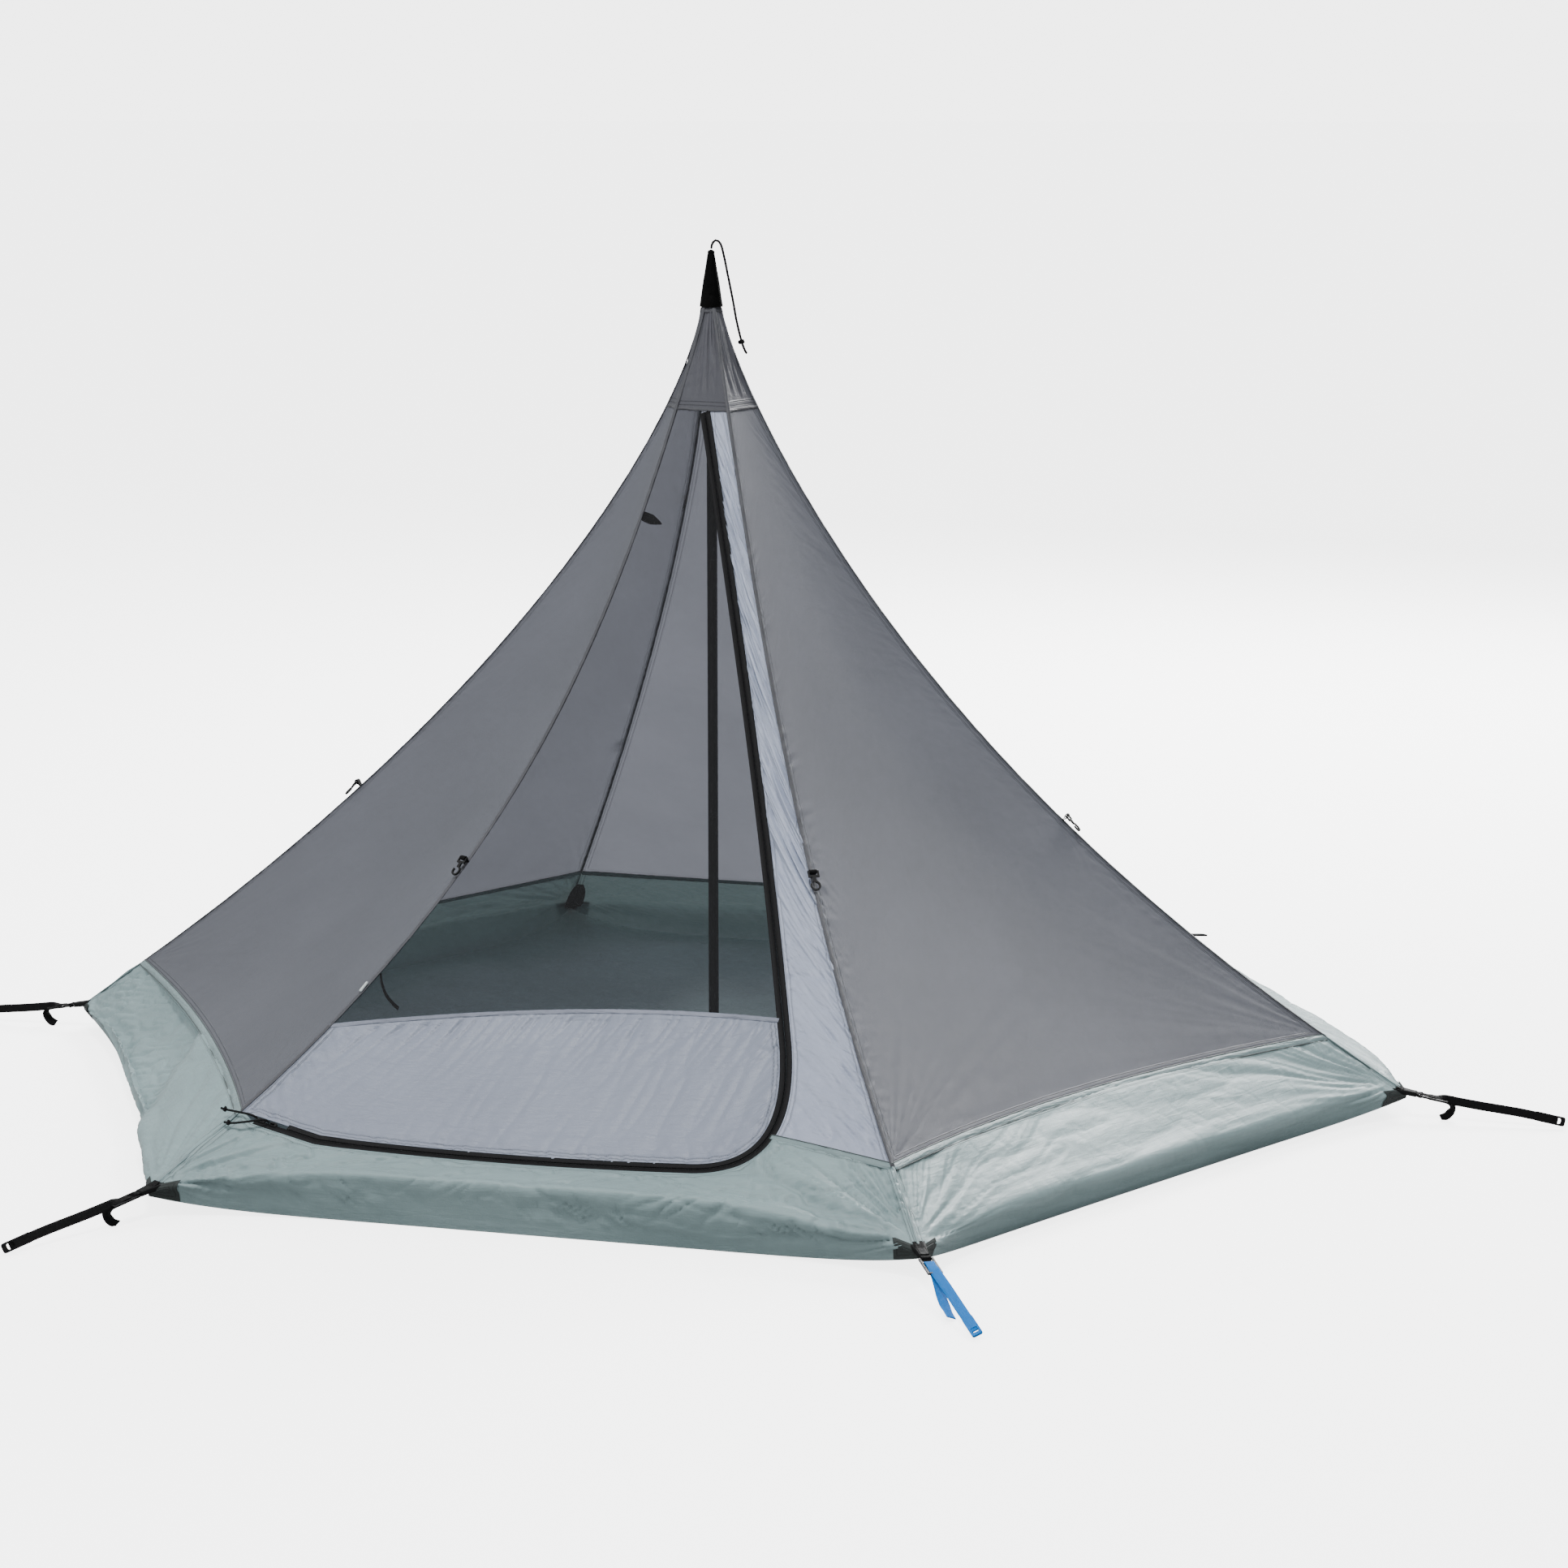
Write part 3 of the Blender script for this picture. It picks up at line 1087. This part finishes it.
def tape_profile(sign):
    """One half of the zip: a flat tape, a raised coil beside the split and a turned outer edge."""
    half = [(0.0005, -0.0014), (0.0031, -0.0014), (0.0036, -0.0006), (0.0122, -0.0006), (0.0132, 0.0000),
            (0.0128, 0.0010), (0.0120, 0.0010), (0.0114, 0.0007), (0.0042, 0.0007), (0.0036, 0.0012),
            (0.0028, 0.0019), (0.0012, 0.0019), (0.0005, 0.0012)]
    return [(x * sign, z) for x, z in half]


def make_zip():
    last = len(ZIP_POINTS) - 1
    cut = int(np.argmin(np.abs(np.linalg.norm(ZIP_POINTS - ZIP_POINTS[-1], axis=1) - DOOR_TAPE_END_GAP)))
    halves = (("zip_tape_door", "zip_door_tape", 1, cut), ("zip_tape_frame", "zip_frame_tape", -1, last))
    for name, node, sign, end in halves:
        path = [line[:end + 1] for line in (ZIP_POINTS, ZIP_ACROSS, ZIP_OUT)]
        tape = sweep(name, *path, tape_profile(sign), "zip")
        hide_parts(node)
        if sign > 0:
            follow_door(tape)
        else:
            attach(tape, "tent")


# ---------------------------------------------------------------- tub

def side_seam(name, count):
    """The top line of a tub wall, as (across, height) places."""
    if name != "door":
        return np.stack([np.linspace(0, 1, count), np.full(count, WALL_HEIGHT)], -1)
    edge, corner = surround_corner()
    left_end = [[0.0, WALL_HEIGHT], [0.012, WALL_HEIGHT - 0.004]]
    places = np.vstack([left_end, edge[corner:][::-1], [[1.0, WALL_HEIGHT]]])
    keep = np.concatenate([[True], np.diff(np.maximum.accumulate(places[:, 0])) > 1e-5])
    places = places[keep]
    across = np.linspace(0, 1, count)
    return np.stack([across, np.interp(across, places[:, 0], places[:, 1])], -1)


# How strongly each tub wall is crumpled.
WALL_CRUMPLES = {"door": 1.0, "left_front": 0.35, "right_front": 0.22,
                 "right_back": 0.4, "back": 0.5, "left_back": 0.5}


def corner_fan(away, up, seed, number, strong):
    """Folds that fan out over a tub wall from one of its pulled corners."""
    reach = np.hypot(away, up)
    fan = np.arctan2(up, away) + 0.10 * noise(reach * 7, 0.5, seed + 9)
    wide = 0.0090 * strong * folds(fan * 5.0 + 30, reach / 0.45, seed + number)
    narrow = 0.0060 * strong * creases(fan * 13.0 + 60, reach / 0.5, seed + number + 2)
    fine = 0.0030 * creases(fan * 26.0 + 90, reach / 0.3, seed + number + 3)
    return (wide * np.exp(-reach / 0.40) * ramp(reach, 0.02, 0.12)
            + narrow * np.exp(-reach / 0.34) * ramp(reach, 0.02, 0.09)
            + fine * np.exp(-reach / 0.15) * ramp(reach, 0.02, 0.06))


def make_wall(name, side, seed):
    columns, rows = 321, 57
    seam = side_seam(name, columns)
    rise, across = np.meshgrid(np.linspace(0, 1, rows), seam[:, 0], indexing="ij")
    smooth = wall_surface(side, across, rise, np.broadcast_to(seam[:, 1], across.shape))
    x, y = lengths_along(smooth)
    whole = x[:, -1:]
    top_away = y[-1:] - y
    fade = ramp(top_away, 0.003, 0.028) * ramp(y, 0.004, 0.05)
    crumple = WALL_CRUMPLES[name]
    bumps = np.zeros_like(x)
    for away, number in ((x, 1), (whole - x, 2)):
        strong = 2.4 if name == "door" and number == 2 else 1.0
        bumps += corner_fan(away, y - 0.045, seed, number, strong)
        under_seam = creases(away / 0.0085, y / 0.07, seed + number + 12)
        bumps += 0.0030 * under_seam * np.exp(-top_away / 0.045) * np.exp(-away / 0.12)
    centre = ramp(x, 0.15, 0.45) * ramp(whole - x, 0.15, 0.45)
    patches = ramp(noise(x / 0.16, y / 0.09, seed + 4), -0.25, 0.45)
    bumps += 0.0030 * folds(x / 0.22 + y * 1.5, y / 0.055, seed + 5) * centre
    if name == "door":
        speckle = ramp(noise(x / 0.10, y / 0.05, seed + 14), -0.2, 0.4)
        crumpled = creases((x * 0.8 + y) / 0.017, (y - x * 0.6) / 0.06, seed + 15, 2.0)
        bumps += 0.0070 * crumpled * ramp(y, 0.015, 0.05) * speckle
    falling = creases((x - y * 1.5) / 0.030, (y + x * 0.4) / 0.06, seed + 6)
    bumps += 0.0056 * falling * ramp(y, 0.03, 0.10) * patches * crumple
    rising = creases((x + y * 0.8) / 0.038, (y - x * 0.3) / 0.05, seed + 8)
    bumps += 0.0040 * rising * ramp(y, 0.02, 0.08) * (1 - patches) * crumple
    if name == "left_front":
        beyond = whole * (0.86 - 0.34 * y / y[-1:]) - x
        bumps -= 0.034 * ramp(beyond, 0, 0.20) * ramp(x, 0.05, 0.45)
        crumpled = creases((x * 0.7 - y) / 0.026, (y + x * 0.6) / 0.05, seed + 13)
        bumps += 0.0060 * crumpled * ramp(beyond, 0.0, 0.06)
    bumps += 0.0018 * folds(x / 0.024, y / 0.06, seed + 7) * np.exp(-top_away / 0.03)
    points = wrinkled(smooth, bumps * fade)
    points[..., 2] = np.maximum(points[..., 2], 0.0)
    sewn_away = np.minimum(top_away, np.minimum(x, whole - x))
    wall = grid_object("tub_side_" + name, points, "tub", np.stack([x, y], -1), sewn_away)
    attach(wall, "tent")
    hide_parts("tub_wall_" + name)

    keep = np.full(len(seam), True)
    if name == "door":
        edge, corner = surround_corner()
        keep = seam[:, 0] >= edge[corner, 0] - 0.004
    centre, out = panel_frame(side, seam[keep, 0], seam[keep, 1])
    along = unit(np.gradient(centre, axis=0))
    upward = unit(np.cross(out, along))
    profile = band_profiles(len(centre), 0.0078, 0.0014, 0.0005)
    profile[..., 1] += (0.0006 * folds(np.arange(len(centre)) / 2.3, 0.5, seed + 11))[:, None]
    band = sweep("tub_seam_" + name, centre - upward * 0.004, upward, out, profile, "tub_seam")
    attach(band, "tent")
    for number, lift in ((1, 0.0042), (2, -0.0124))[:1 if name == "door" else 2]:
        shadow = sweep("tub_thread_%s_%d" % (name, number), centre + upward * lift, upward, out,
                       band_profile(0.0011, 0.0016, 0.0003), "thread")
        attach(shadow, "tent")


def make_floor():
    rim = []
    for start, end in tent_sides():
        across = np.linspace(0, 1, 60, endpoint=False)
        rim.append(wall_rows((start, end), across, np.full_like(across, WALL_HEIGHT))[0])
    rim = np.vstack(rim)
    parts = np.concatenate([np.linspace(1, 0.9, 12), np.linspace(0.9, 0.0004, 70)[1:]])[:, None, None]
    smooth = rim[None] * parts
    lift = np.clip((parts[..., 0] - 0.9) / 0.1, 0, 1) ** 1.5
    smooth[..., 2] = 0.0012 + rim[None, :, 2] * lift
    ruffle = 0.012 * np.clip(folds(smooth[..., 0] / 0.22, smooth[..., 1] / 0.13, 61), 0, 1)
    small = folds((smooth[..., 0] + smooth[..., 1]) / 0.09, smooth[..., 1] / 0.07, 62)
    ruffle += 0.006 * np.clip(small, 0, 1)
    points = smooth.copy()
    away = np.linalg.norm(smooth[..., :2], axis=-1)
    points[..., 2] += ruffle * (1 - ramp(parts[..., 0], 0.90, 1.0)) * ramp(away, 0.03, 0.15)
    floor = grid_object("groundsheet", points, "floor", smooth[..., :2], None, wrap=True)
    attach(floor, "tent")
    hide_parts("floor")


# ---------------------------------------------------------------- corner patches, webbing and straps

def neighbour_sides(corner):
    sides = tent_sides()
    index = list(CORNERS).index(corner)
    return sides[index - 1], sides[index]


def corner_cloth(name, corner, reach, low, high, offset, finish, rounding):
    """A patch that wraps a tub corner, offset metres outside the wall (inside if negative)."""
    before, after = neighbour_sides(corner)
    steps, rows = 12, 10
    grids = []
    for side, sign in ((before, -1), (after, 1)):
        part = np.linspace(0, 1, steps + 1)
        rise, way = np.meshgrid(np.linspace(0, 1, rows), part, indexing="ij")
        span = low + (high - low) * rise
        trim = 1 - rounding * np.abs(2 * rise - 1) ** 3 * 0.5
        distance = way * reach * trim / CORNER_RADIUS
        across = distance if sign > 0 else 1 - distance
        points = wall_surface(side, across, span, np.full_like(across, WALL_HEIGHT))
        normals = grid_normals(points if sign > 0 else points[:, ::-1])
        normals = normals if sign > 0 else normals[:, ::-1]
        points = points + normals * offset
        grids.append(points if sign > 0 else points[:, ::-1])
    middle = (grids[0][:, -1:] + grids[1][:, :1]) / 2
    points = np.concatenate([grids[0][:, :-1], middle, grids[1][:, 1:]], 1)
    x, y = lengths_along(points)
    edge = np.minimum(np.minimum(x, x[:, -1:] - x), np.minimum(y, y[-1:] - y))
    patch = grid_object(name, points, finish, np.stack([x, y], -1), edge)
    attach(patch, "tent")


def corner_place(corner):
    """Corner frame: x runs out along the stake strap and down to the ground, z is square to it."""
    angle = corner_angle(corner)
    turn = Matrix.Rotation(angle, 4, "Z")
    return turn @ Matrix.Translation((CORNER_RADIUS, 0, CORNER_HEIGHT)) @ Matrix.Rotation(STRAP_SLOPE, 4, "Y")


def ribbon(name, stops, half_widths, thickness, finish, place, spacing, twist=None):
    """Flat webbing along (x, z) or (x, y, z) stops in a local frame. Its width runs along y."""
    stops = np.array([(stop[0], 0.0, stop[1]) if len(stop) == 2 else stop for stop in stops], float)
    points = smooth_route(stops, spacing)
    part = np.linspace(0, 1, len(points))
    widths = np.interp(part, np.linspace(0, 1, len(half_widths)), half_widths)
    along = unit(np.gradient(points, axis=0))
    side = unit(np.cross(np.cross(along, np.array([0.0, 1.0, 0.0])), along))
    if twist is not None:
        turns = np.array(twist, float)
        angles = np.interp(part, turns[:, 0], np.radians(turns[:, 1]))[:, None]
        side = side * np.cos(angles) + np.cross(along, side) * np.sin(angles)
    up = np.cross(along, side)
    half = thickness / 2
    shape = np.array([(-1, -0.55), (-0.93, -1), (-0.5, -1.05), (0, -1), (0.5, -1.05), (0.93, -1), (1, -0.55),
                      (1, 0.55), (0.93, 1), (0.5, 1.05), (0, 1), (-0.5, 1.05), (-0.93, 1), (-1, 0.55)])
    profile = shape[None] * np.stack([widths, np.full_like(widths, half)], -1)[:, None]
    made = sweep(name, points, side, up, profile, finish)
    made.data.transform(place)
    return made


def add_bevel(node, width):
    bevel = node.modifiers.new("soft_edges", "BEVEL")
    bevel.width = width
    bevel.segments = 2
    bevel.limit_method = "ANGLE"
    bevel.angle_limit = math.radians(30)


def slotted_plate(name, outer, inner, low, high, finish, place):
    """A flat plate between two loops of (x, y) points, from low to high."""
    count = len(outer)
    rings = ((outer, low), (outer, high), (inner, high), (inner, low))
    points = [(x, y, z) for loop, z in rings for x, y in loop]
    faces = []
    for ring in range(4):
        other = (ring + 1) % 4
        for step in range(count):
            after = (step + 1) % count
            faces.append((ring * count + step, ring * count + after,
                          other * count + after, other * count + step))
    flat = np.array(points)
    made = mesh_object(name, flat, faces, finish, flat[:, :2], np.abs(flat[:, 1]), smooth=False)
    work = bmesh.new()
    work.from_mesh(made.data)
    bmesh.ops.recalc_face_normals(work, faces=work.faces)
    work.to_mesh(made.data)
    work.free()
    made.data.transform(place)
    add_bevel(made, 0.0005)
    return made


def round_bar(centre, radius, angles):
    """(x, z) stops on an arc round a bar of a buckle or a tab."""
    return [(centre + radius * math.cos(math.radians(a)), radius * math.sin(math.radians(a))) for a in angles]


def rounded_loop(cx, cy, half_x, half_y, radius, per_corner=5):
    loop = []
    for sx, sy, start in ((1, 1, 0), (-1, 1, 90), (-1, -1, 180), (1, -1, 270)):
        for step in range(per_corner):
            a = math.radians(start + 90 * step / (per_corner - 1))
            loop.append((cx + sx * (half_x - radius) + radius * math.cos(a),
                         cy + sy * (half_y - radius) + radius * math.sin(a)))
    return loop


def make_corner_loop(corner, place):
    """The webbing loop sewn to the corner, which wraps the buckle's inner bar."""
    turn = round_bar(BAR_POSITION, 0.0044, range(75, -76, -25))
    stops = [(-0.030, 0.0080), (-0.014, 0.0052), (0.002, 0.0026), (0.014, 0.0022), (0.022, 0.0032)] + turn
    stops += [(0.022, -0.0032), (0.014, -0.0022), (0.002, -0.0028), (-0.012, -0.0065)]
    made = ribbon("corner_loop_" + corner, stops, [0.0100, 0.0100], 0.0016, "webbing", place, 0.002)
    between_bars = [(0.0325, -0.0002), (0.0380, 0.0), (0.0436, 0.0002)]
    filler = ribbon("buckle_web_" + corner, between_bars, [0.0084, 0.0084], 0.0014, "webbing", place, 0.002)
    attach(filler, "buckle_" + corner)
    pad = ribbon("corner_pad_" + corner, [(-0.040, 0.0), (-0.020, 0.0), (0.0, 0.0), (0.018, 0.0)],
                 [0.0180, 0.0150, 0.0118, 0.0096], 0.0100, "black_fabric", place, 0.004)
    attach(pad, "tent")
    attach(made, "tent")
    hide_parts("corner_patch_" + corner)


# How far each stake strap leans over on its way out, in degrees.
STRAP_LEANS = {"left": 72, "front_left": 62, "front_right": -25, "right": -72,
               "back_right": 0, "back_left": 0}

# How far each strap's loose tail turns about itself as it hangs, in degrees.
TAIL_TURNS = {"left": 50, "front_left": -55, "front_right": -20, "right": 70,
              "back_right": 0, "back_left": 0}


def make_strap(corner, place):
    """The stake strap: round the buckle's middle bar, turning on edge on its way out to its sewn eye."""
    blue = corner == "front_right"
    finish = "blue_webbing" if blue else "webbing"
    body = "strap_" + corner
    length = BACK_STRAP_LENGTH if corner.startswith("back") else STRAP_LENGTH
    lean = STRAP_LEANS[corner]
    rise = 0.0022 + 0.0098 * abs(math.sin(math.radians(lean)))
    over = 0.0020 + TOUCH_GAP + WEBBING / 2
    turn = round_bar(STRAP_BAR_POSITION, over, range(90, 271, 30))
    stops = [(length - 0.012, rise), (length - 0.050, rise), (length * 0.7, rise * 0.9),
             (0.150, over + 0.002), (0.088, over), (0.060, over)] + turn
    stops += [(0.060, -over), (0.080, -over), (0.094, -over - 0.002)]
    if blue:
        stops += [(0.120, -0.004, -0.0075), (0.160, -0.010, -0.0120),
                  (0.200, -0.014, -0.0135), (0.238, -0.016, -0.0130)]
    else:
        stops += [(0.100, -over - 0.007), (0.099, -0.020), (0.092, -0.033), (0.080, -0.042)]
    reach = length_of([(stop[0], 0, stop[-1]) for stop in stops])
    at = [(length - 0.012 - x) / reach for x in (0.086, 0.061)]
    twist = [(0, lean), (at[0], lean), (at[1], 0), (1 - 0.052 / reach, 0),
             (1 - 0.026 / reach, TAIL_TURNS[corner])]
    main = ribbon("stake_strap_" + corner, stops, [0.0098] * 4, 0.0018, finish, place, 0.003, twist)
    outer = rounded_loop(length - 0.030, 0, 0.034, 0.0104, 0.0050)
    inner = rounded_loop(length - 0.014, 0, 0.0082, 0.0062, 0.0040)
    turned = place @ Matrix.Translation((0, 0, rise)) @ Matrix.Rotation(math.radians(-lean), 4, "X")
    eye = slotted_plate("stake_eye_" + corner, outer, inner, -0.0022, 0.0022, finish, turned)
    for piece in (main, eye):
        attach(piece, body)
    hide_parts("corner_strap_" + corner)


def dress(node_name, finish, bevel=0.0):
    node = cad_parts[node_name]
    node.data.materials.clear()
    node.data.materials.append(MATERIALS[finish])
    if bevel:
        add_bevel(node, bevel)


def make_corners():
    for corner in CORNERS:
        place = corner_place(corner)
        corner_cloth("corner_patch_outer_" + corner, corner, 0.058, 0.02, 0.34, 0.0018, "patch", 0.0)
        corner_cloth("corner_lining_" + corner, corner, 0.036, 0.05, 0.82, -0.0140, "black_fabric", 0.9)
        make_corner_loop(corner, place)
        make_strap(corner, place)
        dress("corner_buckle_" + corner, "plastic", 0.0006)


# ---------------------------------------------------------------- tie-outs

def ridge_place(corner, height):
    """Ridge frame: x points out square to the ridge, y runs round the tent, z runs up the ridge."""
    step = 0.01
    angle = corner_angle(corner)
    up = unit(ridge_point(corner, height + step) - ridge_point(corner, height - step))
    around = np.array([-math.sin(angle), math.cos(angle), 0])
    out = np.cross(around, up)
    place = Matrix((out, around, up)).transposed().to_4x4()
    return Matrix.Translation(ridge_point(corner, height)) @ place


def make_tieouts():
    for corner in CORNERS:
        place = ridge_place(corner, DOOR_TIEOUT_HEIGHT if corner == "front_left" else TIEOUT_HEIGHT)
        ring = round_bar(TIEOUT_BAR, 0.0042, range(110, -111, -22))
        stops = [(0.0012, 0.0012), (0.005, 0.0012)] + ring + [(0.005, -0.0012), (0.0012, -0.0012)]
        tab = ribbon("tieout_loop_" + corner, stops, [0.0078, 0.0078], 0.0014, "webbing", place, 0.0016)
        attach(tab, "tent")
        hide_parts("tieout_tab_" + corner)
        dress("tieout_hook_" + corner, "plastic", 0.0009)


def make_inner_tabs():
    """Hanging tabs sewn inside the ridges near the top, which show through the thin canopy."""
    stops = [(-0.0012, 0.0), (-0.010, 0.0), (-0.024, -0.002), (-0.040, -0.004), (-0.052, -0.004)]
    half_widths = [0.0100, 0.0115, 0.0115, 0.0070, 0.0015]
    hanging = Matrix.Rotation(math.radians(90), 4, "X") @ Matrix.Rotation(math.radians(-18), 4, "Y")
    for corner in CORNERS:
        place = ridge_place(corner, INNER_TAB_HEIGHT) @ hanging
        tab = ribbon("inner_tab_" + corner, stops, half_widths, 0.0012, "black_fabric", place, 0.003)
        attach(tab, "tent")


# ---------------------------------------------------------------- pole, cap and small parts

def make_small_parts():
    for number in (1, 2, 3):
        dress("pole_section_%d" % number, "pole")
    dress("pole_foot", "rubber", 0.0008)
    dress("door_toggle", "toggle")
    for number in (1, 2):
        dress("zip_slider_%d" % number, "slider", 0.0005)


def make_cap():
    """A sewn black cap over the pole's tip, with soft gathers down it."""
    rows, columns = 50, 48
    part = np.linspace(0, 1, rows)[:, None]
    turn = np.linspace(0, math.tau, columns, endpoint=False)[None]
    height = TOP_HEIGHT - 0.0035 + (CAP_TIP - TOP_HEIGHT + 0.0035) * part
    foot_radius, tip_radius, round_start = 0.0262, 0.0062, 0.955
    radius = foot_radius + (tip_radius - foot_radius) * part ** 1.05
    rounded = np.sqrt(np.clip(1 - ((part - round_start) / 0.0452) ** 2, 0, 1))
    radius = np.where(part > round_start, 0.0072 * rounded + 0.0008, radius)
    gather = folds(turn / math.tau * 14 + 2, part * 2.4, 81) * ramp(part, 0, 0.1) * (1 - ramp(part, 0.85, 1))
    radius = radius + 0.0007 * gather
    points = np.stack([radius * np.cos(turn), radius * np.sin(turn), height + 0 * turn], -1)
    cloth = np.stack([turn * 0.02 + 0 * height, height + 0 * turn], -1)
    cap = grid_object("cap_cover", points, "cap", cloth, None, wrap=True)
    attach(cap, "tent")
    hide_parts("peak_cap")


def make_tie_band():
    """The elastic band that holds the rolled door, hanging inside the ridge."""
    corner, height = "front_left", 0.398
    angle = corner_angle(corner)
    reach = float(ridge_radius(corner, height)) - 0.012
    place = Matrix.Rotation(angle, 4, "Z") @ Matrix.Translation((reach, 0, height))
    stops = [(0.0, 0.002), (-0.003, -0.020), (-0.013, -0.045), (-0.029, -0.066), (-0.046, -0.082)]
    band = ribbon("tie_elastic", stops, [0.0045, 0.0045], 0.0014, "webbing", place, 0.003, [(0, 60), (1, 75)])
    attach(band, "tie_band")
    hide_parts("door_tie_band")


make_camera()
make_studio()
make_zip_pulls()
make_hang_cord()
for index, (panel_name, panel_side) in enumerate(PANEL_SIDES.items()):
    make_canopy_panel(panel_name, panel_side, 100 + 20 * index)
    make_wall(panel_name, panel_side, 300 + 20 * index)
make_crown()
make_ridge_seams()
make_crown_seam()
make_door()
make_strip()
make_zip()
make_wall("door", DOOR_SIDE, 500)
make_floor()
make_corners()
make_tieouts()
make_inner_tabs()
make_small_parts()
make_cap()
make_tie_band()

bpy.context.view_layer.update()
